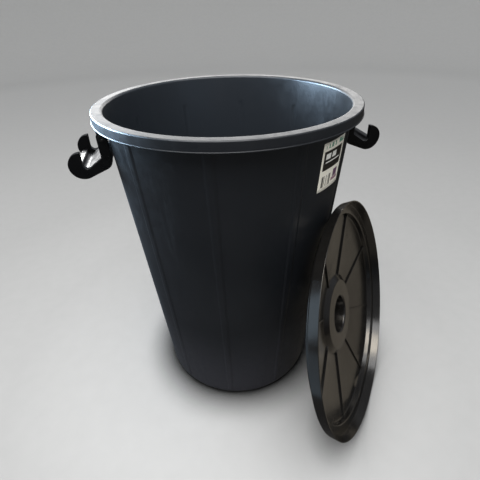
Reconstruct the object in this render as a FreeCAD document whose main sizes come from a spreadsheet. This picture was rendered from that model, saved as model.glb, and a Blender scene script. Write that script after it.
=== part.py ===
import FreeCAD, Part
import math
import os
import Sketcher

# A large round moulded bin with a loose lid that leans against its side.
# +Z is up, millimetres, origin at the centre of the bin's base, on the floor.
# The two flip-up handles stand on the +X and -X sides.

X_AXIS = FreeCAD.Vector(1, 0, 0)
Y_AXIS = FreeCAD.Vector(0, 1, 0)
Z_AXIS = FreeCAD.Vector(0, 0, 1)
ORIGIN = FreeCAD.Vector(0, 0, 0)

DIMENSIONS = {
    # bin
    "bin_height": 608.0,
    "base_radius": 173.3,
    "wall_top_radius": 208.43,
    "wall": 2.8,
    "base_corner": 12.5,
    "floor_level": 6.2,
    "floor_corner": 10.0,
    "foot_radius": 150.0,
    "pad_radius": 26.0,
    "foot_depth": 3.0,
    "foot_slope": 2.0,
    "inner_round": 2.0,
    "cut_margin": 5.0,
    # rolled rim
    "rim_radius": 223.5,
    "rim_top": 3.0,
    "rim_round": 2.2,
    "rim_inner_round": 4.5,
    "skirt_drop": 15.5,
    "skirt_radius": 224.5,
    "skirt_wall": 2.5,
    "skirt_lip": 1.0,
    "skirt_draft": 1.0,
    # raised ribs of the wall
    "rib_count": 10.0,
    "rib_top_width": 18.0,
    "rib_foot_width": 13.0,
    "rib_rise": 1.6,
    "rib_slope": 1.5,
    "rib_foot_level": 14.0,
    "rib_head_gap": 10.0,
    "groove_depth": 0.8,
    "groove_share": 0.55,
    "groove_slope": 3.0,
    "groove_reach": 4.0,
    # handle hinge
    "pivot_radius": 210.4,
    "pivot_drop": 34.0,
    "pin_radius": 3.0,
    "pin_play": 0.05,
    "pin_head_radius": 5.5,
    "pin_head": 2.0,
    "pin_head_round": 1.0,
    "pin_lead": 0.6,
    "side_play": 0.3,
    "lug_wall": 5.8,
    "lug_round": 7.8,
    "lug_edge": 8.0,
    "lug_depth": 22.0,
    "lug_lap": 1.0,
    "lug_root_drop": 53.0,
    # handle
    "handle_width": 103.0,
    "cheek_wall": 8.5,
    "arm_half": 8.0,
    "arm_round": 7.4,
    "arm_corner_drop": 80.4,
    "arm_corner": 16.0,
    "crook_drop": 66.5,
    "crook_round": 3.0,
    "hook_radius": 22.0,
    "hook_low_round": 21.7,
    "hook_top_round": 21.4,
    "hook_centre": 249.0,
    "hook_centre_drop": 76.0,
    "hook_mouth": 250.0,
    "mouth_draft": 1.0,
    "hook_low_drop": 108.0,
    "mouth_low_drop": 87.5,
    "mouth_round": 7.0,
    "web_wall": 4.5,
    "web_inner": 207.4,
    "web_top_drop": 55.0,
    "web_bend_drop": 63.2,
    "web_bend_round": 3.0,
    "channel_foot": 250.5,
    "channel_foot_drop": 88.5,
    "channel_round": 6.0,
    "lip_inner": 254.5,
    "lip_inner_round": 2.5,
    "lip_outer": 265.5,
    "lip_outer_round": 4.0,
    "lip_drop": 79.0,
    "lip_foot_drop": 91.0,
    # lid
    "lid_radius": 230.4,
    "lid_edge": 2.2,
    "lid_seat": 16.5,
    "lid_wall": 2.5,
    "sharp_round": 1.0,
    "flange_round": 3.0,
    "riser_foot_round": 1.5,
    "riser_top_round": 4.5,
    "riser_inner_round": 2.5,
    "moat_round": 4.0,
    "moat_foot_round": 2.0,
    "knob_round": 5.0,
    "knob_inner_round": 3.0,
    "lid_flange_radius": 226.9,
    "riser_foot_radius": 208.5,
    "riser_top_radius": 206.5,
    "panel_level": 30.0,
    "moat_radius": 80.0,
    "moat_edge_level": 46.0,
    "moat_floor_radius": 68.0,
    "moat_level": 38.1,
    "knob_foot_radius": 39.9,
    "knob_top_radius": 36.0,
    "knob_level": 62.5,
    "knob_crown": 64.5,
    "lid_rib_count": 8.0,
    "lid_rib_wall": 2.4,
    "lid_rib_depth": 2.2,
    "lid_rib_lap": 1.0,
    "lid_rib_start": 8.0,
    "lid_rib_end": 6.0,
    "lid_rib_toe": 3.0,
    "lid_rib_phase": -10.5,
    # where the lid leans
    "lid_tilt": 16.9,
    "lid_facing": -39.5,
    "lid_place": -43.0,
    "lid_reach": 287.2,
    # label
    "label_span": 18.0,
    "label_place": -51.5,
    "label_low": 499.0,
    "label_high": 577.0,
    "label_wall": 0.3,
}


class Size:
    """A length that holds its value and the sheet expression that drives it."""

    def __init__(self, value, text):
        self.value = float(value)
        self.text = text

    def joined(self, other, sign, value):
        return Size(value, "(%s %s %s)" % (self.text, sign, other.text))

    def __add__(self, other):
        other = as_size(other)
        return self.joined(other, "+", self.value + other.value)

    def __sub__(self, other):
        other = as_size(other)
        return self.joined(other, "-", self.value - other.value)

    def __mul__(self, other):
        other = as_size(other)
        return self.joined(other, "*", self.value * other.value)

    def __truediv__(self, other):
        other = as_size(other)
        return self.joined(other, "/", self.value / other.value)


def as_size(number):
    if isinstance(number, Size):
        return number
    return Size(number, repr(float(number)))


def make_sheet(document):
    sheet = document.addObject("Spreadsheet::Sheet", "Sizes")
    for row, (alias, number) in enumerate(DIMENSIONS.items(), start=1):
        sheet.set("A%d" % row, alias)
        sheet.set("B%d" % row, str(number))
        sheet.setAlias("B%d" % row, alias)
    document.recompute()
    return sheet


def size(alias):
    return Size(DIMENSIONS[alias], "Sizes." + alias)


def rim_drop(alias_or_size):
    """Height of a point that lies the given drop below the rim's top."""
    drop = size(alias_or_size) if isinstance(alias_or_size, str) else as_size(alias_or_size)
    return size("bin_height") - drop


def wall_radius(level):
    """Outer radius of the tapered wall at a height."""
    rise = size("wall_top_radius") - size("base_radius")
    return size("base_radius") + rise * level / size("bin_height")


def new_body(document, label):
    body = document.addObject("PartDesign::Body", label)
    body.Label = label
    return body


def new_sketch(body, name, role, offset=None):
    plane = [item for item in body.Origin.OriginFeatures if item.Role == role][0]
    sketch = body.newObject("Sketcher::SketchObject", name)
    sketch.AttachmentSupport = [(plane, "")]
    sketch.MapMode = "FlatFace"
    if offset is not None:
        sketch.AttachmentOffset = FreeCAD.Placement(FreeCAD.Vector(0, 0, offset.value), FreeCAD.Rotation())
        sketch.setExpression("AttachmentOffset.Base.z", offset.text)
    return sketch


def bind(sketch, kind, references, amount):
    """Add one dimension to a sketch and drive it from the sheet."""
    index = sketch.addConstraint(constraint(kind, references, amount.value))
    sketch.setExpression("Constraints[%d]" % index, amount.text)


def constraint(kind, references, value=None):
    numbers = list(references)
    if value is not None:
        numbers.append(value)
    return Sketcher.Constraint(kind, *numbers)


def hold_point(sketch, geometry, end, x_place, y_place):
    """Pin a point to its coordinates, on an axis where a coordinate is zero."""
    for kind, axis, place in (("DistanceX", -2, x_place), ("DistanceY", -1, y_place)):
        if place.value == 0.0:
            sketch.addConstraint(constraint("PointOnObject", (geometry, end, axis)))
        else:
            bind(sketch, kind, (-1, 1, geometry, end), place)


def outline(sketch, corners):
    """Draw a closed outline; a corner is (x, y) or (x, y, rounding radius)."""
    corners = [[as_size(number) for number in corner] for corner in corners]
    count = len(corners)
    spots = [FreeCAD.Vector(corner[0].value, corner[1].value, 0) for corner in corners]
    starts = []
    ends = []
    arcs = []
    for index, corner in enumerate(corners):
        spot = spots[index]
        before = (spots[index - 1] - spot).normalize()
        after = (spots[(index + 1) % count] - spot).normalize()
        if len(corner) == 2:
            starts.append(spot)
            ends.append(spot)
            arcs.append(None)
            continue
        radius = corner[2].value
        half = before.getAngle(after) / 2
        reach = radius / math.tan(half)
        centre = spot + (before + after).normalize() * (radius / math.sin(half))
        ends.append(spot + before * reach)
        starts.append(spot + after * reach)
        turns_left = before.cross(after).z < 0
        arcs.append((centre, radius, turns_left))
    lines = []
    for index in range(count):
        segment = Part.LineSegment(starts[index], ends[(index + 1) % count])
        lines.append(sketch.addGeometry(segment, False))
    for index, corner in enumerate(corners):
        before = lines[index - 1]
        after = lines[index]
        if arcs[index] is None:
            sketch.addConstraint(constraint("Coincident", (before, 2, after, 1)))
            hold_point(sketch, after, 1, corner[0], corner[1])
            continue
        centre, radius, turns_left = arcs[index]
        first, last = (ends[index], starts[index]) if turns_left else (starts[index], ends[index])
        angles = [math.atan2(end.y - centre.y, end.x - centre.x) for end in (first, last)]
        if angles[1] < angles[0]:
            angles[1] += 2 * math.pi
        circle = Part.Circle(centre, Z_AXIS, radius)
        arc = sketch.addGeometry(Part.ArcOfCircle(circle, angles[0], angles[1]), False)
        point = sketch.addGeometry(Part.Point(spots[index]), True)
        hold_point(sketch, point, 1, corner[0], corner[1])
        for line in (before, after):
            sketch.addConstraint(constraint("PointOnObject", (point, 1, line)))
        near, far = (1, 2) if turns_left else (2, 1)
        sketch.addConstraint(constraint("Tangent", (before, 2, arc, near)))
        sketch.addConstraint(constraint("Tangent", (after, 1, arc, far)))
        bind(sketch, "Radius", (arc,), corner[2])


def ring(sketch, x_place, y_place, radius):
    """Draw one circle."""
    circle = Part.Circle(FreeCAD.Vector(x_place.value, y_place.value, 0), Z_AXIS, radius.value)
    index = sketch.addGeometry(circle, False)
    hold_point(sketch, index, 3, x_place, y_place)
    bind(sketch, "Radius", (index,), radius)


def turned(body, kind, name, sketch, angle=None):
    """Revolve (or groove) a sketch about the body's Z axis."""
    feature = body.newObject("PartDesign::" + kind, name)
    feature.Profile = sketch
    feature.ReferenceAxis = (sketch, ["V_Axis"])
    feature.Angle = 360.0
    if angle is not None:
        feature.setExpression("Angle", angle.text)
    return feature


def extruded(body, kind, name, sketch, length, symmetric=False, reverse=False):
    """Pad or pocket a sketch by a length."""
    feature = body.newObject("PartDesign::" + kind, name)
    feature.Profile = sketch
    feature.Type = "Length"
    feature.Length = length.value
    feature.setExpression("Length", length.text)
    feature.SideType = "Symmetric" if symmetric else "One side"
    feature.Reversed = reverse
    return feature


def lofted(body, kind, name, sketches):
    feature = body.newObject("PartDesign::" + kind, name)
    feature.Profile = sketches[0]
    feature.Sections = [(sketch, [""]) for sketch in sketches[1:]]
    feature.Ruled = True
    return feature


def repeated(body, name, feature, count):
    """Polar pattern of a feature about the body's Z axis."""
    pattern = body.newObject("PartDesign::PolarPattern", name)
    pattern.Originals = [feature]
    axis = [item for item in body.Origin.OriginFeatures if item.Role == "Z_Axis"][0]
    pattern.Axis = (axis, [""])
    pattern.Angle = 360.0
    pattern.Occurrences = int(count.value)
    pattern.setExpression("Occurrences", count.text)
    body.Tip = pattern
    return pattern


def rounded(body, name, feature, radius, chosen):
    """Fillet the circular edges that lie at the chosen (radius, height) places."""
    body.Document.recompute()
    names = []
    for index, edge in enumerate(feature.Shape.Edges, start=1):
        if not isinstance(edge.Curve, Part.Circle):
            continue
        for ring_radius, level in chosen:
            same_radius = abs(edge.Curve.Radius - ring_radius.value) < 0.05
            same_level = abs(edge.Curve.Center.z - level.value) < 0.05
            if same_radius and same_level:
                names.append("Edge%d" % index)
    fillet = body.newObject("PartDesign::Fillet", name)
    fillet.Base = (feature, names)
    fillet.Radius = radius.value
    fillet.setExpression("Radius", radius.text)
    return fillet


def make_bin(document):
    body = new_body(document, "bin")
    height = size("bin_height")
    recess = size("foot_depth")
    under_rim = rim_drop("rim_top")
    skirt_foot = rim_drop("skirt_drop")
    skirt_inner = size("skirt_radius") - size("skirt_wall")
    lip_radius = size("skirt_radius") + size("skirt_lip")
    lip_top = skirt_foot + size("skirt_lip") * 2

    block = new_sketch(body, "bin_block_sketch", "XZ_Plane")
    outline(block, [
        (0, 0),
        (size("pad_radius"), 0),
        (size("pad_radius") + size("foot_slope"), recess),
        (size("foot_radius") - size("foot_slope"), recess),
        (size("foot_radius"), 0),
        (size("base_radius"), 0, size("base_corner")),
        (wall_radius(under_rim), under_rim, size("inner_round")),
        (skirt_inner - size("skirt_draft"), under_rim, size("inner_round")),
        (skirt_inner, skirt_foot),
        (lip_radius, skirt_foot),
        (lip_radius, lip_top),
        (size("skirt_radius"), lip_top),
        (size("rim_radius"), height, size("rim_round")),
        (0, height),
    ])
    block_turned = turned(body, "Revolution", "bin_block", block)

    rib_sketches = []
    groove_sketches = []
    rib_levels = (size("rib_foot_level"), rim_drop("rib_head_gap"))
    groove_levels = (size("rib_foot_level") * 2, rim_drop("lug_root_drop"))
    deep = size("groove_reach")
    widths = (size("rib_foot_width"), size("rib_top_width"))
    for place, rib_level, groove_level, width in zip(("foot", "head"), rib_levels, groove_levels, widths):
        half = width / 2
        face = wall_radius(rib_level)
        section = new_sketch(body, "rib_%s_sketch" % place, "XY_Plane", rib_level)
        outline(section, [
            (face - size("wall"), half * -1),
            (face + size("rib_rise"), half * -1 + size("rib_slope")),
            (face + size("rib_rise"), half - size("rib_slope")),
            (face - size("wall"), half),
        ])
        rib_sketches.append(section)
        groove_half = half * size("groove_share")
        inner = wall_radius(groove_level) - size("wall")
        groove = new_sketch(body, "groove_%s_sketch" % place, "XY_Plane", groove_level)
        outline(groove, [
            (inner - deep, groove_half * -1 - size("groove_slope")),
            (inner + size("groove_depth"), groove_half * -1),
            (inner + size("groove_depth"), groove_half),
            (inner - deep, groove_half + size("groove_slope")),
        ])
        groove_sketches.append(groove)
    rib = lofted(body, "AdditiveLoft", "wall_rib", rib_sketches)
    repeated(body, "wall_ribs", rib, size("rib_count"))

    lug_far = size("handle_width") / 2 - size("cheek_wall") - size("side_play")
    lug_near = lug_far - size("lug_wall")
    lug_edge = size("pivot_radius") + size("lug_edge")
    lug_back = size("wall_top_radius") - size("lug_depth")
    lug_top = under_rim + size("lug_lap")
    for side, sense in (("right", 1), ("left", -1)):
        for end, start in (("front", lug_near), ("rear", lug_far * -1)):
            name = "lug_%s_%s" % (side, end)
            sketch = new_sketch(body, name + "_sketch", "XZ_Plane", start)
            outline(sketch, [
                (lug_back * sense, lug_top),
                (lug_back * sense, rim_drop("lug_root_drop")),
                (wall_radius(rim_drop("lug_root_drop")) * sense, rim_drop("lug_root_drop")),
                (lug_edge * sense, rim_drop("pivot_drop") - size("lug_round"), size("lug_round")),
                (lug_edge * sense, lug_top),
            ])
            extruded(body, "Pad", name, sketch, size("lug_wall"))

    cavity = new_sketch(body, "cavity_sketch", "XZ_Plane")
    floor_radius = wall_radius(size("floor_level")) - size("wall")
    mouth_radius = wall_radius(height) - size("wall")
    outline(cavity, [
        (0, size("floor_level")),
        (floor_radius, size("floor_level"), size("floor_corner")),
        (mouth_radius, height),
        (mouth_radius, height + size("cut_margin")),
        (0, height + size("cut_margin")),
    ])
    hollow = turned(body, "Groove", "cavity", cavity)
    body.Tip = hollow
    groove = lofted(body, "SubtractiveLoft", "wall_groove", groove_sketches)
    repeated(body, "wall_grooves", groove, size("rib_count"))

    bores = new_sketch(body, "pin_bores_sketch", "XZ_Plane")
    for sense in (1, -1):
        ring(bores, size("pivot_radius") * sense, rim_drop("pivot_drop"), size("pin_radius"))
    bored = extruded(body, "Pocket", "pin_bores", bores, size("handle_width"), symmetric=True)
    body.Tip = bored
    rounded(body, "rim_inner_edge", bored, size("rim_inner_round"), [(mouth_radius, height)])
    return body


def make_handle(document, label, turn):
    body = new_body(document, label)
    arm_outer = size("pivot_radius") + size("arm_half")
    arm_inner = size("pivot_radius") - size("arm_half")
    arm_top = rim_drop("pivot_drop") + size("arm_half")
    hook_outer = size("hook_centre") + size("hook_radius")
    hook_top = rim_drop("hook_centre_drop") + size("hook_radius")
    end_round = size("arm_round")

    side = new_sketch(body, label + "_side_sketch", "XZ_Plane")
    outline(side, [
        (arm_outer, arm_top, end_round),
        (arm_inner, arm_top, end_round),
        (arm_inner, rim_drop("arm_corner_drop"), size("arm_corner")),
        (hook_outer, rim_drop("hook_low_drop"), size("hook_low_round")),
        (hook_outer, hook_top, size("hook_top_round")),
        (size("hook_mouth") - size("mouth_draft"), hook_top),
        (size("hook_mouth"), rim_drop("mouth_low_drop"), size("mouth_round")),
        (arm_outer, rim_drop("crook_drop"), size("crook_round")),
    ])
    extruded(body, "Pad", label + "_blank", side, size("handle_width"), symmetric=True)

    web_outer = size("web_inner") + size("web_wall")
    above = size("bin_height")
    below = rim_drop("hook_low_drop")
    margin = size("cut_margin")
    channel = new_sketch(body, label + "_channel_sketch", "XZ_Plane")
    outline(channel, [
        (arm_inner - margin, above),
        (arm_inner - margin, below),
        (size("web_inner"), below),
        (size("web_inner"), rim_drop("web_top_drop")),
        (web_outer, rim_drop("web_top_drop")),
        (web_outer, rim_drop("web_bend_drop"), size("web_bend_round")),
        (size("channel_foot"), rim_drop("channel_foot_drop"), size("channel_round")),
        (size("lip_inner"), rim_drop("lip_drop"), size("lip_inner_round")),
        (size("lip_outer"), rim_drop("lip_drop"), size("lip_outer_round")),
        (size("lip_outer"), rim_drop("lip_foot_drop")),
        (hook_outer + margin, rim_drop("lip_foot_drop")),
        (hook_outer + margin, above),
    ])
    inside = size("handle_width") - size("cheek_wall") * 2
    extruded(body, "Pocket", label + "_channel", channel, inside, symmetric=True)

    bore = new_sketch(body, label + "_bore_sketch", "XZ_Plane")
    ring(bore, size("pivot_radius"), rim_drop("pivot_drop"), size("pin_radius") + size("pin_play"))
    body.Tip = extruded(body, "Pocket", label + "_bore", bore, size("handle_width") * 2, symmetric=True)
    body.Placement = FreeCAD.Placement(ORIGIN, FreeCAD.Rotation(Z_AXIS, turn))
    return body


def make_pin(document, label, side_sense, end_sense):
    """A headed push-in pin; its head lies outside the handle's cheek."""
    body = new_body(document, label)
    start = size("handle_width") / 2 - size("cheek_wall") - size("side_play") - size("lug_wall")
    shank = size("handle_width") / 2 + size("side_play")
    head = shank + size("pin_head")
    sketch = new_sketch(body, label + "_sketch", "XZ_Plane")
    outline(sketch, [
        (0, start),
        (size("pin_radius") - size("pin_lead"), start),
        (size("pin_radius"), start + size("pin_lead")),
        (size("pin_radius"), shank),
        (size("pin_head_radius"), shank),
        (size("pin_head_radius"), head, size("pin_head_round")),
        (0, head),
    ])
    body.Tip = turned(body, "Revolution", label + "_turned", sketch)
    place = FreeCAD.Vector(size("pivot_radius").value * side_sense, 0, rim_drop("pivot_drop").value)
    body.Placement = FreeCAD.Placement(place, FreeCAD.Rotation(X_AXIS, -90 * end_sense))
    body.setExpression("Placement.Base.x", (size("pivot_radius") * side_sense).text)
    body.setExpression("Placement.Base.z", rim_drop("pivot_drop").text)
    return body


def make_lid(document):
    """The lid's own frame has its free edge at zero and its top upwards."""
    body = new_body(document, "lid")
    wall = size("lid_wall")
    seat = size("lid_seat")
    flange = seat + wall
    section = new_sketch(body, "lid_section_sketch", "XZ_Plane")
    outline(section, [
        (size("lid_radius") - size("lid_edge"), 0),
        (size("lid_radius"), 0),
        (size("lid_flange_radius"), flange, size("flange_round")),
        (size("riser_foot_radius"), flange, size("riser_foot_round")),
        (size("riser_top_radius"), size("panel_level"), size("riser_top_round")),
        (size("moat_radius"), size("moat_edge_level"), size("moat_round")),
        (size("moat_floor_radius"), size("moat_level"), size("moat_foot_round")),
        (size("knob_foot_radius"), size("moat_level"), size("moat_foot_round")),
        (size("knob_top_radius"), size("knob_level"), size("knob_round")),
        (0, size("knob_crown")),
        (0, size("knob_crown") - wall),
        (size("knob_top_radius") - wall, size("knob_level") - wall, size("knob_inner_round")),
        (size("knob_foot_radius") - wall, size("moat_level") - wall, size("moat_round")),
        (size("moat_floor_radius") + wall, size("moat_level") - wall, size("moat_round")),
        (size("moat_radius") + wall, size("moat_edge_level") - wall, size("moat_foot_round")),
        (size("riser_top_radius") - wall, size("panel_level") - wall, size("riser_inner_round")),
        (size("riser_foot_radius") - wall, seat, size("riser_inner_round")),
        (size("lid_flange_radius") - wall, seat, size("sharp_round")),
    ])
    turned(body, "Revolution", "lid_shell", section)

    rib = new_sketch(body, "lid_rib_sketch", "XZ_Plane")
    lap = size("lid_rib_lap")
    outer = size("riser_top_radius") - lap
    inner_low = size("moat_edge_level") - wall - size("lid_rib_depth")
    outer_low = size("panel_level") - wall - size("lid_rib_depth")
    outline(rib, [
        (size("moat_floor_radius") + lap * 2, size("moat_level") + lap),
        (size("moat_floor_radius") + size("lid_rib_start"), inner_low),
        (size("riser_top_radius") - wall - size("lid_rib_end"), outer_low),
        (outer, outer_low - size("lid_rib_toe")),
        (outer, size("panel_level") - lap),
        (size("moat_radius"), size("moat_edge_level") - lap),
    ])
    web = extruded(body, "Pad", "lid_rib", rib, size("lid_rib_wall"), symmetric=True)
    repeated(body, "lid_ribs", web, size("lid_rib_count"))
    return body


def lean_lid(body):
    """Tip the lid back on its edge, facing away from the bin, and rest it on the floor."""
    tilt = math.radians(size("lid_tilt").value)
    facing = math.radians(size("lid_facing").value)
    place = math.radians(size("lid_place").value)
    reach = size("lid_reach").value
    upright = FreeCAD.Rotation(Z_AXIS, size("lid_rib_phase").value)
    tipped = FreeCAD.Rotation(Y_AXIS, -(90 + math.degrees(tilt)))
    faced = FreeCAD.Rotation(Z_AXIS, math.degrees(facing))
    rotation = faced.multiply(tipped).multiply(upright)
    spot = FreeCAD.Vector(reach * math.cos(place), reach * math.sin(place), 0)
    body.Placement = FreeCAD.Placement(spot, rotation)
    depth = size("bin_height").value * 2
    far_down = FreeCAD.Vector(-depth, -depth, -depth)
    plane = Part.makePlane(depth * 2, depth * 2, far_down)
    low = plane.distToShape(body.Shape)[0] + far_down.z
    body.Placement = FreeCAD.Placement(spot - Z_AXIS * low, rotation)


def make_label(document):
    body = new_body(document, "label")
    low = size("label_low")
    high = size("label_high")
    sketch = new_sketch(body, "label_sketch", "XZ_Plane")
    outline(sketch, [
        (wall_radius(low), low),
        (wall_radius(low) + size("label_wall"), low),
        (wall_radius(high) + size("label_wall"), high),
        (wall_radius(high), high),
    ])
    patch = turned(body, "Revolution", "label_patch", sketch, size("label_span"))
    patch.Midplane = True
    body.Tip = patch
    body.Placement = FreeCAD.Placement(ORIGIN, FreeCAD.Rotation(Z_AXIS, size("label_place").value))
    return body


def check(document, parts):
    for item in document.Objects:
        faults = [state for state in item.State if state in ("Invalid", "Error")]
        if faults:
            raise RuntimeError("%s did not build: %s" % (item.Label, faults))
        if item.TypeId == "Sketcher::SketchObject" and not item.FullyConstrained:
            raise RuntimeError("%s is not fully constrained" % item.Label)
    for part in parts:
        shape = part.Shape
        if shape.isNull() or not shape.isValid() or len(shape.Solids) != 1:
            raise RuntimeError("%s is not one valid solid" % part.Label)


def main():
    document = FreeCAD.newDocument("moulded_bin")
    make_sheet(document)
    lid = make_lid(document)
    parts = [
        make_bin(document),
        make_handle(document, "handle_right", 0),
        make_handle(document, "handle_left", 180),
        lid,
        make_label(document),
    ]
    for side, side_sense in (("right", 1), ("left", -1)):
        for end, end_sense in (("rear", 1), ("front", -1)):
            parts.append(make_pin(document, "hinge_pin_%s_%s" % (side, end), side_sense, end_sense))
    document.recompute()
    lean_lid(lid)
    document.recompute()
    check(document, parts)
    os.makedirs("parts", exist_ok=True)
    for part in parts:
        part.Shape.exportStep("parts/%s.step" % part.Label)
        box = part.Shape.BoundBox
        print("%-24s volume %10.0f  x %7.1f %7.1f  y %7.1f %7.1f  z %6.1f %6.1f" % (
            part.Label, part.Shape.Volume, box.XMin, box.XMax, box.YMin, box.YMax, box.ZMin, box.ZMax))


main()
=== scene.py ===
import math

import bmesh
import bpy
from mathutils import Matrix, Vector


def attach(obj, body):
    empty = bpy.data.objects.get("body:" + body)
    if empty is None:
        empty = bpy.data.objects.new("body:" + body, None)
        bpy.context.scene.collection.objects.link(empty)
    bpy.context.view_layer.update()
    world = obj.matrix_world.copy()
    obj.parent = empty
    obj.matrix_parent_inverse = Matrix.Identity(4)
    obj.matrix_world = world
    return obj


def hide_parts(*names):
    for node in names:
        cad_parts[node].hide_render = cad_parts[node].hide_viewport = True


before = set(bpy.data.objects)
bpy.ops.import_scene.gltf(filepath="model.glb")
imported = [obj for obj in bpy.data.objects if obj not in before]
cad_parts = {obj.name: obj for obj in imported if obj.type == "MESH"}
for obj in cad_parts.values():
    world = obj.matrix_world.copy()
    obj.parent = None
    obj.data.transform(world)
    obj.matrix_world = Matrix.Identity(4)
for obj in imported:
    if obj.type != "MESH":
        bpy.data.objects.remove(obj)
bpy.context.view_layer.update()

# A round moulded bin with two flip-up handles, and its lid leaning against the side.
# Metres. +Z is up, the bin's base is centred on the origin, the handles are on the X sides.

MM = 0.001
ROUND_STEPS = 6
CHEEK_STEPS = 12

# bin
HEIGHT = 608 * MM
BASE_RADIUS = 173.3 * MM
WALL_TOP_RADIUS = 208.43 * MM
WALL = 2.8 * MM
FLOOR_LEVEL = 6.2 * MM
FOOT_RADIUS = 150 * MM
PAD_RADIUS = 26 * MM
FOOT_DEPTH = 3 * MM
RIM_RADIUS = 223.5 * MM
RIM_TOP = 3 * MM
RIM_ROUND = 2.2 * MM
RIM_INNER_ROUND = 4.5 * MM
SKIRT_DROP = 15.5 * MM
SKIRT_RADIUS = 224.5 * MM
SKIRT_WALL = 2.5 * MM
SKIRT_LIP = 1 * MM

# raised ribs of the wall
RIB_COUNT = 10
RIB_TOP_WIDTH = 18 * MM
RIB_FOOT_WIDTH = 13 * MM
RIB_RISE = 1.6 * MM
RIB_FOOT_LEVEL = 14 * MM
GROOVE_DEPTH = 0.8 * MM
GROOVE_FOOT_LEVEL = 28 * MM
GROOVE_HEAD_LEVEL = HEIGHT - 53 * MM

# hinges
PIVOT_RADIUS = 210.4 * MM
PIVOT_LEVEL = HEIGHT - 34 * MM
LUG_WALL = 5.8 * MM
LUG_ROUND = 7.8 * MM
LUG_ROOT_LEVEL = HEIGHT - 53 * MM
SIDE_PLAY = 0.3 * MM
PIN_RADIUS = 3 * MM
PIN_HEAD_RADIUS = 5.5 * MM
PIN_HEAD = 2 * MM

# handles
HANDLE_WIDTH = 103 * MM
CHEEK_WALL = 8.5 * MM
ARM_HALF = 8 * MM
ARM_CORNER_LEVEL = HEIGHT - 80.4 * MM
CROOK_LEVEL = HEIGHT - 66.5 * MM
HOOK_RADIUS = 22 * MM
HOOK_CENTRE = 249 * MM
HOOK_CENTRE_LEVEL = HEIGHT - 76 * MM
HOOK_LOW_LEVEL = HEIGHT - 108 * MM
MOUTH_RADIUS = 250 * MM
MOUTH_LOW_LEVEL = HEIGHT - 87.5 * MM
WEB_WALL = 4.5 * MM
WEB_INNER = 207.4 * MM
WEB_TOP_LEVEL = HEIGHT - 55 * MM
WEB_BEND_LEVEL = HEIGHT - 63.2 * MM
CHANNEL_FOOT = 250.5 * MM
CHANNEL_FOOT_LEVEL = HEIGHT - 88.5 * MM
LIP_INNER = 254.5 * MM
LIP_OUTER = 265.5 * MM
LIP_LEVEL = HEIGHT - 79 * MM

# lid, in its own frame with the free edge at zero and its top upwards
LID_RADIUS = 230.4 * MM
LID_WALL = 2.5 * MM
LID_SEAT = 16.5 * MM
LID_FLANGE_RADIUS = 226.9 * MM
RISER_FOOT_RADIUS = 208.5 * MM
RISER_TOP_RADIUS = 206.5 * MM
PANEL_LEVEL = 30 * MM
MOAT_RADIUS = 80 * MM
MOAT_EDGE_LEVEL = 46 * MM
MOAT_FLOOR_RADIUS = 68 * MM
MOAT_LEVEL = 38.1 * MM
KNOB_FOOT_RADIUS = 39.9 * MM
KNOB_TOP_RADIUS = 36 * MM
KNOB_LEVEL = 62.5 * MM
KNOB_CROWN = 64.5 * MM
LID_RIB_COUNT = 8
LID_RIB_WALL = 2.4 * MM
LID_RIB_DEPTH = 2.2 * MM
LID_RIB_PHASE = math.radians(-10.5)
LID_TILT = math.radians(16.9)
LID_FACING = math.radians(-39.5)
LID_PLACE = math.radians(-43)
LID_REACH = 287.2 * MM

# label
LABEL_SPAN = math.radians(18)
LABEL_PLACE = math.radians(-51.5)
LABEL_LOW = 499 * MM
LABEL_HIGH = 577 * MM
LABEL_WALL = 0.3 * MM


def wall_radius(level):
    """Radius of the bin's outer wall, which widens evenly upward."""
    return BASE_RADIUS + (WALL_TOP_RADIUS - BASE_RADIUS) * level / HEIGHT


def smooth_step(low, high, value):
    """Rise softly from 0 at low to 1 at high."""
    share = min(1.0, max(0.0, (value - low) / (high - low)))
    return share * share * (3 - 2 * share)


# ---------------------------------------------------------------- shapes

def rounded_outline(corners, steps=ROUND_STEPS):
    """Points of a closed outline; a corner is (x, y) or (x, y, rounding radius)."""
    points = []
    count = len(corners)
    for index, corner in enumerate(corners):
        spot = Vector(corner[:2])
        if len(corner) == 2:
            points.append(spot)
            continue
        radius = corner[2]
        before = (Vector(corners[index - 1][:2]) - spot).normalized()
        after = (Vector(corners[(index + 1) % count][:2]) - spot).normalized()
        half = before.angle(after) / 2
        centre = spot + (before + after).normalized() * (radius / math.sin(half))
        start = spot + before * (radius / math.tan(half)) - centre
        end = spot + after * (radius / math.tan(half)) - centre
        turn = start.angle_signed(end)
        for step in range(steps + 1):
            points.append(centre + Matrix.Rotation(-turn * step / steps, 2) @ start)
    return points


def new_object(name, mesh_maker, body, material, sharp=35):
    """Make a mesh with smooth shading and sharp creases, and let it ride on a body."""
    work = bmesh.new()
    mesh_maker(work)
    bmesh.ops.recalc_face_normals(work, faces=work.faces)
    mesh = bpy.data.meshes.new(name)
    work.to_mesh(mesh)
    work.free()
    mesh.shade_smooth()
    mesh.set_sharp_from_angle(angle=math.radians(sharp))
    made = bpy.data.objects.new(name, mesh)
    bpy.context.scene.collection.objects.link(made)
    mesh.materials.append(material)
    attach(made, body)
    return made


def flat_faces_stay_flat(made):
    """Let the large faces set the shading normals, so that only the roundings bend the light."""
    modifier = made.modifiers.new("face_weighting", "WEIGHTED_NORMAL")
    modifier.keep_sharp = True
    return made


def bevel(made, width, segments=3):
    """Round the sharp edges of a piece a little."""
    modifier = made.modifiers.new("edge_round", "BEVEL")
    modifier.width = width
    modifier.segments = segments
    modifier.limit_method = "ANGLE"
    modifier.angle_limit = math.radians(35)
    modifier.harden_normals = True
    return made


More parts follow.
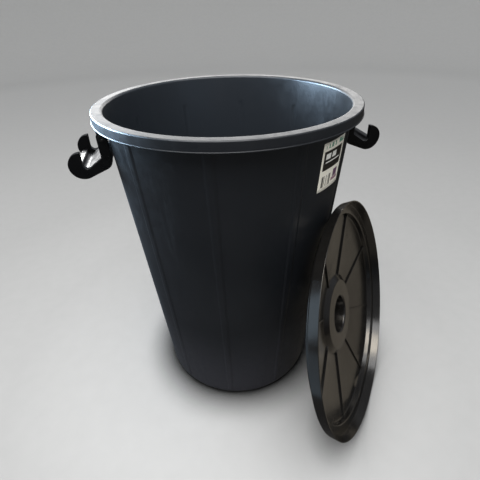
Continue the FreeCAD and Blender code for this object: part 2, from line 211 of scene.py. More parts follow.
def add_turned(work, points, angles, relief=None):
    """Add a closed outline turned about Z; relief moves a point outwards by angle and height."""
    rings = []
    for point in points:
        if abs(point.x) < 1e-6:
            rings.append([work.verts.new((0, 0, point.y))])
            continue
        ring = []
        for angle in angles:
            turn = angle(point.y) if callable(angle) else angle
            reach = point.x + (relief(turn, point) if relief else 0.0)
            ring.append(work.verts.new((reach * math.cos(turn), reach * math.sin(turn), point.y)))
        rings.append(ring)
    for index, ring in enumerate(rings):
        following = rings[(index + 1) % len(rings)]
        if len(ring) == 1 and len(following) == 1:
            continue
        count = max(len(ring), len(following))
        for place in range(count):
            after = (place + 1) % count
            corners = [ring[place % len(ring)], ring[after % len(ring)]]
            corners += [following[after % len(following)], following[place % len(following)]]
            work.faces.new(list(dict.fromkeys(corners)))


def add_extruded(work, points, low, high, place=Matrix.Identity(4)):
    """Add an (x, z) outline extruded along Y from low to high."""
    sides = []
    for depth in (low, high):
        sides.append([work.verts.new(place @ Vector((p.x, depth, p.y))) for p in points])
    work.faces.new(sides[0])
    work.faces.new(list(reversed(sides[1])))
    count = len(points)
    for index in range(count):
        after = (index + 1) % count
        work.faces.new((sides[0][index], sides[1][index], sides[1][after], sides[0][after]))


def even_angles(count):
    """Angles of a full turn in equal steps."""
    return [2 * math.pi * index / count for index in range(count)]


# ---------------------------------------------------------------- materials

class Paint:
    """Short calls for building one node material."""

    def __init__(self, name):
        self.material = bpy.data.materials.new(name)
        self.material.use_nodes = True
        self.tree = self.material.node_tree
        self.shader = self.tree.nodes["Principled BSDF"]

    def node(self, kind, **settings):
        made = self.tree.nodes.new("ShaderNode" + kind)
        for key, value in settings.items():
            setattr(made, key, value)
        return made

    def feed(self, socket, value):
        if isinstance(value, bpy.types.NodeSocket):
            self.tree.links.new(value, socket)
        else:
            socket.default_value = value

    def place(self, stretch=(1, 1, 1)):
        """The surface point in the piece's own frame, scaled along each axis."""
        mapping = self.node("Mapping")
        self.feed(mapping.inputs["Vector"], self.node("TexCoord").outputs["Object"])
        mapping.inputs["Scale"].default_value = stretch
        return mapping.outputs["Vector"]

    def noise(self, scale, detail=3, stretch=(1, 1, 1), roughness=0.5):
        made = self.node("TexNoise")
        self.feed(made.inputs["Vector"], self.place(stretch))
        made.inputs["Scale"].default_value = scale
        made.inputs["Detail"].default_value = detail
        made.inputs["Roughness"].default_value = roughness
        return made.outputs["Fac"]

    def math(self, operation, *values, clamp=False):
        made = self.node("Math", operation=operation, use_clamp=clamp)
        for index, value in enumerate(values):
            self.feed(made.inputs[index], value)
        return made.outputs["Value"]

    def span(self, value, low, high, to_low=0.0, to_high=1.0):
        """Map a value from low..high to to_low..to_high, held at both ends."""
        made = self.node("MapRange")
        for key, amount in (
            ("Value", value), ("From Min", low), ("From Max", high), ("To Min", to_low), ("To Max", to_high),
        ):
            self.feed(made.inputs[key], amount)
        return made.outputs["Result"]

    def mix(self, share, first, second):
        made = self.node("Mix", data_type="RGBA")
        self.feed(made.inputs["Factor"], share)
        self.feed(made.inputs[6], first)
        self.feed(made.inputs[7], second)
        return made.outputs[2]

    def bump(self, height, strength, distance):
        made = self.node("Bump")
        made.inputs["Strength"].default_value = strength
        made.inputs["Distance"].default_value = distance
        self.feed(made.inputs["Height"], height)
        self.feed(self.shader.inputs["Normal"], made.outputs["Normal"])


# Height up to which the painted floor reflection of the foot tone fades out.
FLOOR_REFLECTION_FADE_LEVEL = 220 * MM
PLASTIC_IOR = 1.46


def plastic(name, dark, light, rough, ripple=0.35, stroke=(1, 1, 1), inside=None, foot=None):
    """A moulded plastic: cloudy tone, uneven gloss, fine scuffs, a slight ripple and a faint grain.

    The faces that look toward the upright axis take the paler tone given as inside, painted light on the
    side of the tub, and the lowest faces take the paler tone given as foot, a painted reflection of the
    floor.
    """
    paint = Paint(name)
    cloud = paint.noise(7.0, 4)
    fine = paint.noise(60.0, 5, roughness=0.65)
    scuff = paint.noise(22.0, 6, stretch=stroke, roughness=0.75)
    grain = paint.noise(900.0, 2)
    wave = paint.noise(9.0, 1)
    worn = paint.span(scuff, 0.56, 0.70)
    colour = paint.mix(paint.span(cloud, 0.35, 0.68), dark, light)
    # Painted reflection: the foot tone paints the lowest part of the wall paler, fading out upward, in place
    # of the floor's reflection.
    if foot:
        level = paint.node("SeparateXYZ")
        paint.feed(level.inputs[0], paint.place())
        colour = paint.mix(paint.span(level.outputs["Z"], 0.0, FLOOR_REFLECTION_FADE_LEVEL, 1.0, 0.0), colour, foot)
    # Painted light: faces turned toward the upright axis take the paler inside tone, brightening the inside
    # of the tub.
    if inside:
        facing = paint.node("VectorMath", operation="DOT_PRODUCT")
        paint.feed(facing.inputs[0], paint.place((1, 1, 0)))
        paint.feed(facing.inputs[1], paint.node("NewGeometry").outputs["Normal"])
        colour = paint.mix(paint.span(facing.outputs["Value"], -0.12, -0.04, 1.0, 0.0), colour, inside)
    paint.feed(paint.shader.inputs["Base Color"], colour)
    gloss = paint.span(fine, 0.3, 0.7, *rough)
    gloss = paint.math("ADD", gloss, paint.math("MULTIPLY", worn, 0.12), clamp=True)
    paint.feed(paint.shader.inputs["Roughness"], gloss)
    paint.shader.inputs["IOR"].default_value = PLASTIC_IOR
    height = paint.math("ADD", paint.math("MULTIPLY", wave, ripple), paint.math("MULTIPLY", grain, 0.02))
    height = paint.math("ADD", height, paint.math("MULTIPLY", worn, 0.02))
    paint.bump(height, 0.5, 0.0012)
    return paint.material


def printed_label():
    """Paper with a pale green head, a dark panel, a block of bars and a small mark; no lettering."""
    paint = Paint("label_paper")
    place = paint.node("SeparateXYZ")
    paint.feed(place.inputs[0], paint.node("TexCoord").outputs["UV"])
    across = place.outputs["X"]
    up = place.outputs["Y"]

    def box(left, right, low, high):
        sides = [
            paint.math("GREATER_THAN", across, left), paint.math("LESS_THAN", across, right),
            paint.math("GREATER_THAN", up, low), paint.math("LESS_THAN", up, high),
        ]
        return paint.math("MULTIPLY", paint.math("MULTIPLY", sides[0], sides[1]),
                          paint.math("MULTIPLY", sides[2], sides[3]))

    cream = (0.92, 0.87, 0.74, 1)
    pale_cream = (0.97, 0.94, 0.84, 1)
    green = (0.16, 0.36, 0.26, 1)
    near_black = (0.022, 0.017, 0.013, 1)
    off_white = (0.90, 0.89, 0.84, 1)
    ink = (0.03, 0.03, 0.03, 1)
    plum = (0.14, 0.06, 0.13, 1)
    rose = (0.30, 0.16, 0.22, 1)
    colour = paint.mix(paint.span(paint.noise(40.0, 4), 0.3, 0.7), cream, pale_cream)
    leaf = paint.math("GREATER_THAN", paint.noise(160.0, 2, stretch=(1, 1, 0.6)), 0.5)
    colour = paint.mix(paint.math("MULTIPLY", box(0.10, 0.94, 0.88, 0.97), leaf), colour, green)
    colour = paint.mix(box(0.07, 0.90, 0.44, 0.83), colour, near_black)
    for block in ((0.15, 0.35, 0.66, 0.77), (0.41, 0.60, 0.66, 0.77), (0.16, 0.80, 0.585, 0.61)):
        colour = paint.mix(box(*block), colour, off_white)
    sway = paint.math("MULTIPLY", paint.math("SINE", paint.math("MULTIPLY", across, 61.0)), 0.02)
    wave = paint.math("SINE", paint.math("MULTIPLY", paint.math("ADD", across, sway), 260.0))
    bars = paint.math("GREATER_THAN", wave, 0.0)
    colour = paint.mix(paint.math("MULTIPLY", box(0.10, 0.50, 0.08, 0.32), bars), colour, ink)
    colour = paint.mix(box(0.62, 0.84, 0.20, 0.36), colour, plum)
    colour = paint.mix(box(0.56, 0.90, 0.12, 0.19), colour, rose)
    paint.feed(paint.shader.inputs["Base Color"], colour)
    paint.feed(paint.shader.inputs["Roughness"], paint.span(paint.noise(90.0, 4), 0.3, 0.7, 0.32, 0.5))
    paint.bump(paint.noise(120.0, 4), 0.3, 0.0003)
    return paint.material


# The bin's foot tone is a painted reflection of the floor, and its inside tone is painted light.
BIN_PLASTIC = plastic(
    "bin_plastic", (0.0110, 0.0127, 0.0155, 1), (0.0150, 0.0168, 0.0200, 1), rough=(0.30, 0.40),
    stroke=(1, 1, 0.15), inside=(0.024, 0.029, 0.036, 1), foot=(0.040, 0.041, 0.050, 1))
HANDLE_PLASTIC = plastic(
    "handle_plastic", (0.0015, 0.0015, 0.002, 1), (0.003, 0.003, 0.0035, 1), rough=(0.24, 0.36),
    stroke=(0.4, 1, 1))
LID_PLASTIC = plastic(
    "lid_plastic", (0.0060, 0.0055, 0.0050, 1), (0.0105, 0.0095, 0.0085, 1), rough=(0.13, 0.22),
    ripple=0.25)
PIN_PLASTIC = plastic(
    "pin_plastic", (0.006, 0.006, 0.006, 1), (0.010, 0.010, 0.010, 1), rough=(0.30, 0.42))
LABEL_PAPER = printed_label()


# ---------------------------------------------------------------- bin

RIB_GRID = (-1.3, -1.15, -1.0, -0.86, -0.62, -0.4, 0.0, 0.4, 0.62, 0.86, 1.0, 1.15, 1.3)
GAP_STEPS = 13
SECTOR = 2 * math.pi / RIB_COUNT


def rib_half_angle(level):
    """Half the turn that a wall rib covers; the ribs widen upward with the wall."""
    share = min(1.0, max(0.0, level / HEIGHT))
    return (RIB_FOOT_WIDTH + (RIB_TOP_WIDTH - RIB_FOOT_WIDTH) * share) / 2 / wall_radius(level)


def bin_angles():
    """Angles that follow the edges of the ribs, each a function of height."""
    angles = []
    for index in range(RIB_COUNT):
        for step in RIB_GRID:
            angles.append(lambda level, index=index, step=step: SECTOR * index + step * rib_half_angle(level))
        for step in range(1, GAP_STEPS):
            share = step / GAP_STEPS

            def between(level, index=index, share=share):
                start = RIB_GRID[-1] * rib_half_angle(level)
                return SECTOR * index + start + (SECTOR - 2 * start) * share

            angles.append(between)
    return angles


def wall_levels(low, high, step=30 * MM):
    """Even heights from low to high, about a step apart."""
    count = max(1, round((high - low) / step))
    return [low + (high - low) * index / count for index in range(count + 1)]


def bin_profile():
    """The bin's section: foot, outer wall, rim with its skirt, inner wall and floor."""
    under_rim = HEIGHT - RIM_TOP
    skirt_foot = HEIGHT - SKIRT_DROP
    skirt_inner = SKIRT_RADIUS - SKIRT_WALL
    lip = SKIRT_RADIUS + SKIRT_LIP
    lip_top = skirt_foot + SKIRT_LIP * 2
    foot_rows = [RIB_FOOT_LEVEL + extra * MM for extra in (-0.5, 0.5, 2, 4)]
    outer = foot_rows + wall_levels(40 * MM, under_rim - 8 * MM)
    groove_low = [GROOVE_FOOT_LEVEL + extra * MM for extra in (-6, -3, 0, 4)]
    groove_high = [GROOVE_HEAD_LEVEL + extra * MM for extra in (-4, 0, 3, 6)]
    inner = groove_low + wall_levels(60 * MM, 530 * MM) + groove_high + [HEIGHT - 20 * MM]
    corners = [
        (0, 0),
        (PAD_RADIUS, 0, 0.8 * MM),
        (PAD_RADIUS + 2 * MM, FOOT_DEPTH, 0.8 * MM),
        (FOOT_RADIUS - 2 * MM, FOOT_DEPTH, 0.8 * MM),
        (FOOT_RADIUS, 0, 0.8 * MM),
        (BASE_RADIUS, 0, 12.5 * MM),
    ]
    corners += [(wall_radius(level), level) for level in outer]
    corners += [
        (wall_radius(under_rim), under_rim, 2 * MM),
        (skirt_inner - 1 * MM, under_rim, 2 * MM),
        (skirt_inner, skirt_foot, 0.6 * MM),
        (lip, skirt_foot, 0.8 * MM),
        (lip, lip_top, 0.7 * MM),
        (SKIRT_RADIUS, lip_top, 0.3 * MM),
        (RIM_RADIUS, HEIGHT, RIM_ROUND),
        (wall_radius(HEIGHT) - WALL, HEIGHT, RIM_INNER_ROUND),
    ]
    corners += [(wall_radius(level) - WALL, level) for level in reversed(inner)]
    corners += [
        (wall_radius(FLOOR_LEVEL) - WALL, FLOOR_LEVEL, 10 * MM),
        (120 * MM, FLOOR_LEVEL),
        (40 * MM, FLOOR_LEVEL),
        (0, FLOOR_LEVEL),
    ]
    return rounded_outline(corners)


def wall_relief(turn, point):
    """Raised rib outside and shallow groove inside, with soft edges."""
    near = 0.4 * MM
    level = point.y
    offset = (turn + SECTOR / 2) % SECTOR - SECTOR / 2
    across = abs(offset) / rib_half_angle(level)
    outside = abs(point.x - wall_radius(level)) < near
    inside = abs(point.x - wall_radius(level) + WALL) < near
    if outside and level < HEIGHT - RIM_TOP:
        ends = smooth_step(RIB_FOOT_LEVEL - 0.6 * MM, RIB_FOOT_LEVEL + 2.1 * MM, level)
        ends *= 1 - smooth_step(HEIGHT - 12 * MM, HEIGHT - 7 * MM, level)
        return RIB_RISE * ends * (1 - smooth_step(0.50, 1.05, across))
    if inside and level > FLOOR_LEVEL + 12 * MM:
        ends = smooth_step(GROOVE_FOOT_LEVEL - 3 * MM, GROOVE_FOOT_LEVEL + 2 * MM, level)
        ends *= 1 - smooth_step(GROOVE_HEAD_LEVEL - 2 * MM, GROOVE_HEAD_LEVEL + 3 * MM, level)
        return GROOVE_DEPTH * ends * (1 - smooth_step(0.25, 0.66, across))
    return 0.0


def make_bin():
    """The tub with its rim, and the four hinge lugs under the rim."""
    shell = new_object(
        "bin_shell", lambda work: add_turned(work, bin_profile(), bin_angles(), wall_relief),
        "bin", BIN_PLASTIC, sharp=50)
    flat_faces_stay_flat(shell)
    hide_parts("bin")
    far = HANDLE_WIDTH / 2 - CHEEK_WALL - SIDE_PLAY
    edge = PIVOT_RADIUS + LUG_ROUND + 0.2 * MM
    root = wall_radius(LUG_ROOT_LEVEL)
    sunk = 1 * MM
    for side, sense in (("right", 1), ("left", -1)):
        corners = [
            (root - sunk, LUG_ROOT_LEVEL),
            (root, LUG_ROOT_LEVEL),
            (edge, PIVOT_LEVEL - LUG_ROUND, LUG_ROUND),
            (edge, HEIGHT - RIM_TOP + sunk),
            (root - sunk, HEIGHT - RIM_TOP + sunk),
        ]
        outline = [Vector((point.x * sense, point.y)) for point in rounded_outline(corners)]
        for end, low in (("front", -far), ("rear", far - LUG_WALL)):
            lug = new_object(
                "lug_%s_%s" % (side, end),
                lambda work, outline=outline, low=low: add_extruded(work, outline, low, low + LUG_WALL),
                "bin", BIN_PLASTIC)
            bevel(lug, 0.7 * MM)


# ---------------------------------------------------------------- handles and pins

def handle_side():
    """The hook-shaped outline of a handle's cheek."""
    outer = PIVOT_RADIUS + ARM_HALF
    inner = PIVOT_RADIUS - ARM_HALF
    top = PIVOT_LEVEL + ARM_HALF
    hook_outer = HOOK_CENTRE + HOOK_RADIUS
    end_round = ARM_HALF - 0.6 * MM
    return [
        (outer, top, end_round),
        (inner, top, end_round),
        (inner, ARM_CORNER_LEVEL, 16 * MM),
        (hook_outer, HOOK_LOW_LEVEL, HOOK_RADIUS - 0.3 * MM),
        (hook_outer, HOOK_CENTRE_LEVEL + HOOK_RADIUS, HOOK_RADIUS - 0.6 * MM),
        (HOOK_CENTRE, HOOK_CENTRE_LEVEL + HOOK_RADIUS, 0.5 * MM),
        (MOUTH_RADIUS, MOUTH_LOW_LEVEL, 7 * MM),
        (outer, CROOK_LEVEL, 3 * MM),
    ]


def handle_web():
    """The outline of the thick web that joins the two cheeks, with its channel and its broad lip."""
    side = rounded_outline(handle_side(), CHEEK_STEPS)
    rounded_corner = CHEEK_STEPS + 1
    lower = side[2 * rounded_corner:4 * rounded_corner]
    under = []
    for point, after in zip(lower, lower[1:]):
        if point.x > WEB_INNER and point.x <= LIP_OUTER:
            under.append(point)
        if point.x <= LIP_OUTER < after.x:
            under.append(point.lerp(after, (LIP_OUTER - point.x) / (after.x - point.x)))
            break
    web_outer = WEB_INNER + WEB_WALL
    foot = under.pop()
    upper = rounded_outline([
        (LIP_OUTER, foot.y),
        (LIP_OUTER, LIP_LEVEL, 4 * MM),
        (LIP_INNER, LIP_LEVEL, 2.5 * MM),
        (CHANNEL_FOOT, CHANNEL_FOOT_LEVEL, 6 * MM),
        (web_outer, WEB_BEND_LEVEL, 3 * MM),
        (web_outer, WEB_TOP_LEVEL, 1 * MM),
        (WEB_INNER, WEB_TOP_LEVEL, 1 * MM),
        (WEB_INNER, under[0].y + 0.3 * MM),
    ], CHEEK_STEPS)
    return under + upper


def make_handles():
    """Two flip-up handles; the left one is the right one turned half way round."""
    half = HANDLE_WIDTH / 2
    for side, turn in (("right", 0), ("left", math.pi)):
        place = Matrix.Rotation(turn, 4, "Z")
        body = side + "_handle"
        cheek = rounded_outline(handle_side(), CHEEK_STEPS)
        web = handle_web()
        ends = ("front", "rear") if side == "right" else ("rear", "front")
        for end, low in zip(ends, (-half, half - CHEEK_WALL)):
            plate = new_object(
                "handle_%s_cheek_%s" % (side, end),
                lambda work, low=low: add_extruded(work, cheek, low, low + CHEEK_WALL, place),
                body, HANDLE_PLASTIC)
            bevel(plate, 1.1 * MM, 4)
        inside = half - CHEEK_WALL + 0.5 * MM
        floor = new_object(
            "handle_%s_web" % side,
            lambda work: add_extruded(work, web, -inside, inside, place),
            body, HANDLE_PLASTIC)
        flat_faces_stay_flat(floor)
        # The brightly lit web would show as a speckled patch in the gloss of the wall.
        floor.visible_glossy = False
        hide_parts("handle_" + side)


def make_pins():
    """Four headed pins, each with a dimple in its head, pushed inward through a cheek and a lug."""
    start = HANDLE_WIDTH / 2 - CHEEK_WALL - SIDE_PLAY - LUG_WALL
    shank = HANDLE_WIDTH / 2 + SIDE_PLAY
    head = shank + PIN_HEAD
    corners = [
        (0, start),
        (PIN_RADIUS, start, 0.5 * MM),
        (PIN_RADIUS, shank),
        (PIN_HEAD_RADIUS, shank, 0.2 * MM),
        (PIN_HEAD_RADIUS, head, 1 * MM),
        (2.2 * MM, head, 0.3 * MM),
        (1.4 * MM, head - 0.7 * MM, 0.3 * MM),
        (0, head - 0.7 * MM),
    ]
    for side, side_sense in (("right", 1), ("left", -1)):
        for end, end_sense in (("rear", 1), ("front", -1)):
            name = "hinge_pin_%s_%s" % (side, end)
            place = Matrix.Translation((PIVOT_RADIUS * side_sense, 0, PIVOT_LEVEL))
            place = place @ Matrix.Rotation(-math.pi / 2 * end_sense, 4, "X")

            def build(work, place=place):
                add_turned(work, rounded_outline(corners, 4), even_angles(48))
                bmesh.ops.transform(work, matrix=place, verts=work.verts)

            pin = new_object(name + "_head", build, "bin", PIN_PLASTIC, sharp=50)
            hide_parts(name)


# ---------------------------------------------------------------- lid

def panel_level(radius):
    """Height of the lid's gently rising panel, from its edge to the finger moat."""
    share = (RISER_TOP_RADIUS - radius) / (RISER_TOP_RADIUS - MOAT_RADIUS)
    return PANEL_LEVEL + (MOAT_EDGE_LEVEL - PANEL_LEVEL) * share


def lid_profile():
    """The lid's section, from the foot of its skirt over the top and back along the underside."""
    seat = LID_SEAT
    flange = seat + LID_WALL
    return rounded_outline([
        (LID_RADIUS - 2.2 * MM, 0, 0.7 * MM),
        (LID_RADIUS, 0, 0.7 * MM),
        (LID_FLANGE_RADIUS, flange, 3 * MM),
        (RISER_FOOT_RADIUS, flange, 1.5 * MM),
        (RISER_TOP_RADIUS, PANEL_LEVEL, 4.5 * MM),
        (160 * MM, panel_level(160 * MM)),
        (120 * MM, panel_level(120 * MM)),
        (MOAT_RADIUS, MOAT_EDGE_LEVEL, 4 * MM),
        (MOAT_FLOOR_RADIUS, MOAT_LEVEL, 2 * MM),
        (KNOB_FOOT_RADIUS, MOAT_LEVEL, 2 * MM),
        (KNOB_TOP_RADIUS, KNOB_LEVEL, 5 * MM),
        (0, KNOB_CROWN),
        (0, KNOB_CROWN - LID_WALL),
        (KNOB_TOP_RADIUS - LID_WALL, KNOB_LEVEL - LID_WALL, 3 * MM),
        (KNOB_FOOT_RADIUS - LID_WALL, MOAT_LEVEL - LID_WALL, 4 * MM),
        (MOAT_FLOOR_RADIUS + LID_WALL, MOAT_LEVEL - LID_WALL, 4 * MM),
        (MOAT_RADIUS + LID_WALL, MOAT_EDGE_LEVEL - LID_WALL, 2 * MM),
        (RISER_TOP_RADIUS - LID_WALL, PANEL_LEVEL - LID_WALL, 2.5 * MM),
        (RISER_FOOT_RADIUS - LID_WALL, seat, 2.5 * MM),
        (LID_FLANGE_RADIUS - LID_WALL, seat, 1 * MM),
    ])


def lid_rib_outline():
    """A rib's side: a low fin under the panel, its upper edge and both ends sunk into the shell."""
    under = PANEL_LEVEL - LID_WALL - LID_RIB_DEPTH
    return rounded_outline([
        (MOAT_FLOOR_RADIUS + 2 * MM, MOAT_LEVEL + 1 * MM),
        (MOAT_FLOOR_RADIUS + 8 * MM, MOAT_EDGE_LEVEL - LID_WALL - LID_RIB_DEPTH, 3 * MM),
        (RISER_TOP_RADIUS - LID_WALL - 6 * MM, under, 6 * MM),
        (RISER_TOP_RADIUS - 1 * MM, under - 3 * MM),
        (RISER_TOP_RADIUS - 1 * MM, PANEL_LEVEL - 1 * MM),
        (MOAT_RADIUS, MOAT_EDGE_LEVEL - 1 * MM),
    ])


def lid_place(profile):
    """Tip the lid back on its edge, facing away from the bin, and rest it on the floor."""
    turn = Matrix.Rotation(LID_FACING, 4, "Z") @ Matrix.Rotation(-(math.pi / 2 + LID_TILT), 4, "Y")
    lowest = min(-point.x * math.cos(LID_TILT) - point.y * math.sin(LID_TILT) for point in profile)
    spot = Vector((LID_REACH * math.cos(LID_PLACE), LID_REACH * math.sin(LID_PLACE), -lowest))
    return Matrix.Translation(spot) @ turn @ Matrix.Rotation(LID_RIB_PHASE, 4, "Z")


def make_lid():
    """The lid's shell, and the ribs that spread from the hollow knob under its panel."""
    profile = lid_profile()
    place = lid_place(profile)

    def shell(work):
        add_turned(work, profile, even_angles(288))
        bmesh.ops.transform(work, matrix=place, verts=work.verts)

    lid = new_object("lid_shell", shell, "lid", LID_PLASTIC, sharp=50)
    flat_faces_stay_flat(lid)
    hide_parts("lid")
    outline = lid_rib_outline()
    for index in range(LID_RIB_COUNT):
        turn = place @ Matrix.Rotation(2 * math.pi * index / LID_RIB_COUNT, 4, "Z")
        rib = new_object(
            "lid_rib_%d" % (index + 1),
            lambda work, turn=turn: add_extruded(work, outline, -LID_RIB_WALL / 2, LID_RIB_WALL / 2, turn),
            "lid", LID_PLASTIC)
        bevel(rib, 0.5 * MM)


# ---------------------------------------------------------------- label

def make_label():
    """A thin curved patch whose print coordinates run across and up."""
    columns = 24
    rows = 12
    clear = 0.05 * MM

    def build(work):
        print_map = work.loops.layers.uv.new("print")
        grid = []
        for row in range(rows + 1):
            level = LABEL_LOW + (LABEL_HIGH - LABEL_LOW) * row / rows
            line = []
            for column in range(columns + 1):
                turn = LABEL_PLACE + LABEL_SPAN * (column / columns - 0.5)
                reach = wall_radius(level) + LABEL_WALL
                line.append(work.verts.new((reach * math.cos(turn), reach * math.sin(turn), level)))
            grid.append(line)
        for row in range(rows):
            for column in range(columns):
                steps = ((0, 0), (0, 1), (1, 1), (1, 0))
                face = work.faces.new([grid[row + up][column + over] for up, over in steps])
                for loop, (up, over) in zip(face.loops, steps):
                    loop[print_map].uv = ((column + over) / columns, (row + up) / rows)

    label = new_object("label_sheet", build, "bin", LABEL_PAPER)
    modifier = label.modifiers.new("paper", "SOLIDIFY")
    modifier.thickness = LABEL_WALL - clear
    modifier.offset = -1
    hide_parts("label")


make_bin()
make_handles()
make_pins()
make_lid()
make_label()


# ---------------------------------------------------------------- stage, light and camera

def make_stage():
    """A paper floor that curves up into a backdrop; its tone follows the distance from the bin as painted
    light and shade, with a painted contact shadow next to the pieces.
    """
    work = bmesh.new()
    flat = 4.5
    bend = 1.5
    tall = 4.0
    bend_steps = 16
    points = [Vector((reach, 0)) for reach in (0, 0.5, 1.5, flat)]
    for step in range(1, bend_steps + 1):
        turn = math.pi / 2 * step / bend_steps
        points.append(Vector((flat + bend * math.sin(turn), bend - bend * math.cos(turn))))
    points.append(Vector((flat + bend, tall)))
    rings = []
    for point in points:
        if point.x == 0:
            rings.append([work.verts.new((0, 0, 0))])
            continue
        turns = even_angles(96)
        rings.append([work.verts.new((point.x * math.cos(t), point.x * math.sin(t), point.y)) for t in turns])
    for inner, outer in zip(rings, rings[1:]):
        for index in range(len(outer)):
            after = (index + 1) % len(outer)
            corners = [inner[index % len(inner)], outer[index], outer[after], inner[after % len(inner)]]
            work.faces.new(list(dict.fromkeys(corners)))
    mesh = bpy.data.meshes.new("studio_floor")
    work.to_mesh(mesh)
    work.free()
    mesh.shade_smooth()
    floor = bpy.data.objects.new("studio_floor", mesh)
    bpy.context.scene.collection.objects.link(floor)
    paint = Paint("studio_paper")
    distance = paint.node("VectorMath", operation="LENGTH")
    paint.feed(distance.inputs[0], paint.place())
    # Painted light and shade: the tone is paler next to the bin, darker a little way out and paler again far
    # off, shaping the floor's brightness in place of the lamps.
    ramp = paint.node("ValToRGB")
    ramp_reach = 4.0
    paint.feed(ramp.inputs["Fac"], paint.math("DIVIDE", distance.outputs["Value"], ramp_reach, clamp=True))
    painted_light_tones = ((0.05, 0.58), (0.14, 0.44), (0.25, 0.42), (0.50, 0.50), (1.0, 0.74))
    for place, _ in painted_light_tones[1:-1]:
        ramp.color_ramp.elements.new(place)
    for stop, (place, tone) in zip(ramp.color_ramp.elements, painted_light_tones):
        stop.position = place
        stop.color = (tone, tone, tone * 0.99, 1)
    # Painted shadow: an ambient occlusion node darkens the floor colour close to the pieces, as a contact
    # shadow.
    painted_contact_shadow = paint.node("AmbientOcclusion")
    painted_contact_shadow.inputs["Distance"].default_value = 0.09
    shade = paint.span(painted_contact_shadow.outputs["AO"], 0.50, 0.96, 0.02, 1.0)
    mottle = paint.span(paint.noise(30.0, 5), 0.3, 0.7, 0.97, 1.0)
    tone = paint.node("VectorMath", operation="SCALE")
    paint.feed(tone.inputs[0], ramp.outputs["Color"])
    paint.feed(tone.inputs["Scale"], paint.math("MULTIPLY", shade, mottle))
    paint.feed(paint.shader.inputs["Base Color"], tone.outputs["Vector"])
    paint.shader.inputs["Roughness"].default_value = 0.9
    floor.visible_glossy = False
    mesh.materials.append(paint.material)


def softbox(name, spot, target, size, power, colour, only_gloss=False, pieces=None):
    """A flat lamp; with pieces given it reaches only those, as a flagged studio card does."""
    lamp = bpy.data.lights.new(name, "AREA")
    lamp.shape = "RECTANGLE"
    lamp.size, lamp.size_y = size
    lamp.energy = power
    lamp.color = colour
    made = bpy.data.objects.new(name, lamp)
    bpy.context.scene.collection.objects.link(made)
    made.location = spot
    made.rotation_euler = (Vector(target) - Vector(spot)).to_track_quat("-Z", "Y").to_euler()
    made.visible_camera = False
    made.visible_diffuse = not only_gloss
    if pieces:
        group = bpy.data.collections.new(name + "_pieces")
        for piece in pieces:
            group.objects.link(bpy.data.objects[piece])
        made.light_linking.receiver_collection = group


def make_air():
    """Even daylight, and a dimmer warm room that only the gloss of the plastic shows."""
    world = bpy.data.worlds.new("studio_air")
    bpy.context.scene.world = world
    world.use_nodes = True
    tree = world.node_tree
    daylight = tree.nodes["Background"]
    daylight.inputs["Color"].default_value = (0.97, 0.985, 1.0, 1)
    daylight.inputs["Strength"].default_value = 0.40

    def node(kind, **settings):
        made = tree.nodes.new("ShaderNode" + kind)
        for key, value in settings.items():
            setattr(made, key, value)
        return made

    direction = node("TexCoord").outputs["Generated"]
    parts = node("SeparateXYZ")
    tree.links.new(direction, parts.inputs[0])

    def share(value, low, high):
        made = node("MapRange", interpolation_type="SMOOTHSTEP")
        tree.links.new(value, made.inputs["Value"])
        made.inputs["From Min"].default_value = low
        made.inputs["From Max"].default_value = high
        return made.outputs["Result"]

    def blend(amount, first, second):
        made = node("Mix", data_type="RGBA")
        tree.links.new(amount, made.inputs[0])
        for socket, value in ((made.inputs[6], first), (made.inputs[7], second)):
            if isinstance(value, tuple):
                socket.default_value = value
            else:
                tree.links.new(value, socket)
        return made.outputs[2]

    left_down = (0.06, 0.06, 0.064, 1)
    left_level = (0.05, 0.055, 0.065, 1)
    right_ground = (0.05, 0.047, 0.042, 1)
    upper_room = (0.26, 0.27, 0.29, 1)
    left_ground = blend(share(parts.outputs["Z"], -1.0, 0.0), left_down, left_level)
    ground = blend(share(parts.outputs["X"], -0.7, 0.7), left_ground, right_ground)
    room = blend(share(parts.outputs["Z"], -0.15, 0.2), ground, upper_room)
    gloss = node("Background")
    tree.links.new(room, gloss.inputs["Color"])
    mix = node("MixShader")
    tree.links.new(node("LightPath").outputs["Is Glossy Ray"], mix.inputs[0])
    tree.links.new(daylight.outputs[0], mix.inputs[1])
    tree.links.new(gloss.outputs[0], mix.inputs[2])
    tree.links.new(mix.outputs[0], tree.nodes["World Output"].inputs["Surface"])


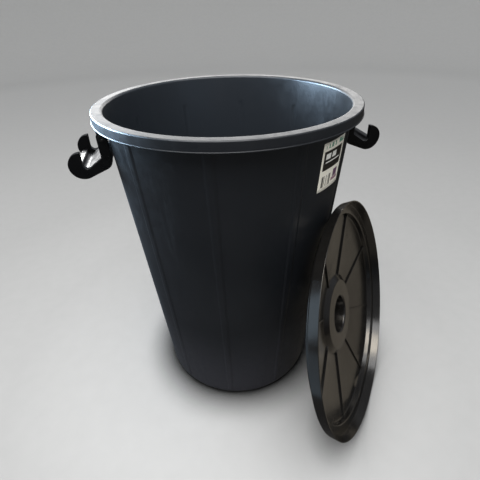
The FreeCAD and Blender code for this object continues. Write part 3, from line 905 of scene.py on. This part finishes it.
def make_light():
    """One big overhead softbox, and cards that shine in the gloss of the bin, of a web or of the lid."""
    rim = (0, 0, 0.6)
    white = (1, 1, 1)
    warm = (1.0, 0.985, 0.96)
    blue = (0.55, 0.76, 1.0)
    sky = (0.62, 0.82, 1.0)
    amber = (1.0, 0.87, 0.68)
    lugs = ["lug_%s_%s" % (side, end) for side in ("left", "right") for end in ("front", "rear")]
    tub = ["bin_shell"] + lugs
    web = ["handle_left_web"]
    shell = ["lid_shell"]
    underside = shell + ["lid_rib_%d" % (index + 1) for index in range(LID_RIB_COUNT)]
    softbox("top_softbox", (-0.35, -0.5, 2.6), (0, 0, 0.4), (2.4, 2.4), 102, white)
    softbox("back_softbox", (0.0, 2.7, 1.25), rim, (4.6, 1.5), 58, warm, True, tub)
    softbox("back_left_softbox", (-1.15, 2.6, 1.1), rim, (1.7, 0.9), 7, white, True, tub)
    softbox("left_softbox", (-1.6, 1.05, 1.05), (0, 0, 0.5), (1.9, 1.1), 330, blue, True, ["bin_shell"])
    softbox("left_card", (-0.75, 0.75, 1.60), (-0.24, 0, 0.53), (0.8, 0.8), 640, white, False, web)
    softbox("lid_back_card", (0.5, 2.7, 1.25), rim, (1.6, 0.9), 34, amber, True, shell)
    softbox("lid_top_card", (-0.4, -0.5, 2.5), (0.3, -0.3, 0.25), (1.0, 1.0), 34, amber, True, shell)
    softbox("lid_floor_card", (0.92, 0.08, 0.02), (0.92, 0.08, 1.0), (1.4, 1.5), 1.40, amber, True, underside)
    softbox("lid_paper_card", (-0.95, -0.6, 0.01), (-0.95, -0.6, 1.0), (1.55, 1.55), 4.8, sky, True, shell)
    softbox("lid_left_card", (-2.0, -0.2, 0.90), (0.1, -0.3, 0.3), (0.9, 1.7), 9.0, sky, True, shell)


def make_camera():
    """The viewer's place: in front and above, looking down into the bin."""
    spot = Vector((-0.1085, -0.6153, 0.7421))
    lens_length = 25.74
    sensor_width = 36
    turn = math.radians(-10)
    yaw = math.radians(1.84)
    pitch = math.radians(35.66)
    roll = math.radians(-1.51)
    forward = Vector((math.sin(yaw) * math.cos(pitch), math.cos(yaw) * math.cos(pitch), -math.sin(pitch)))
    forward = Matrix.Rotation(turn, 3, "Z") @ forward
    right = forward.cross(Vector((0, 0, 1))).normalized()
    upward = right.cross(forward)
    level = math.cos(roll) * right + math.sin(roll) * upward
    upright = -math.sin(roll) * right + math.cos(roll) * upward
    data = bpy.data.cameras.new("camera")
    data.lens = lens_length
    data.sensor_width = sensor_width
    data.shift_x = -0.0079
    data.shift_y = 0.0138
    camera = bpy.data.objects.new("camera", data)
    bpy.context.scene.collection.objects.link(camera)
    place = Matrix((level, upright, -forward)).transposed().to_4x4()
    place.translation = spot
    camera.matrix_world = place
    bpy.context.scene.camera = camera


make_stage()
make_air()
make_light()
make_camera()
bpy.context.scene.view_settings.view_transform = "Standard"
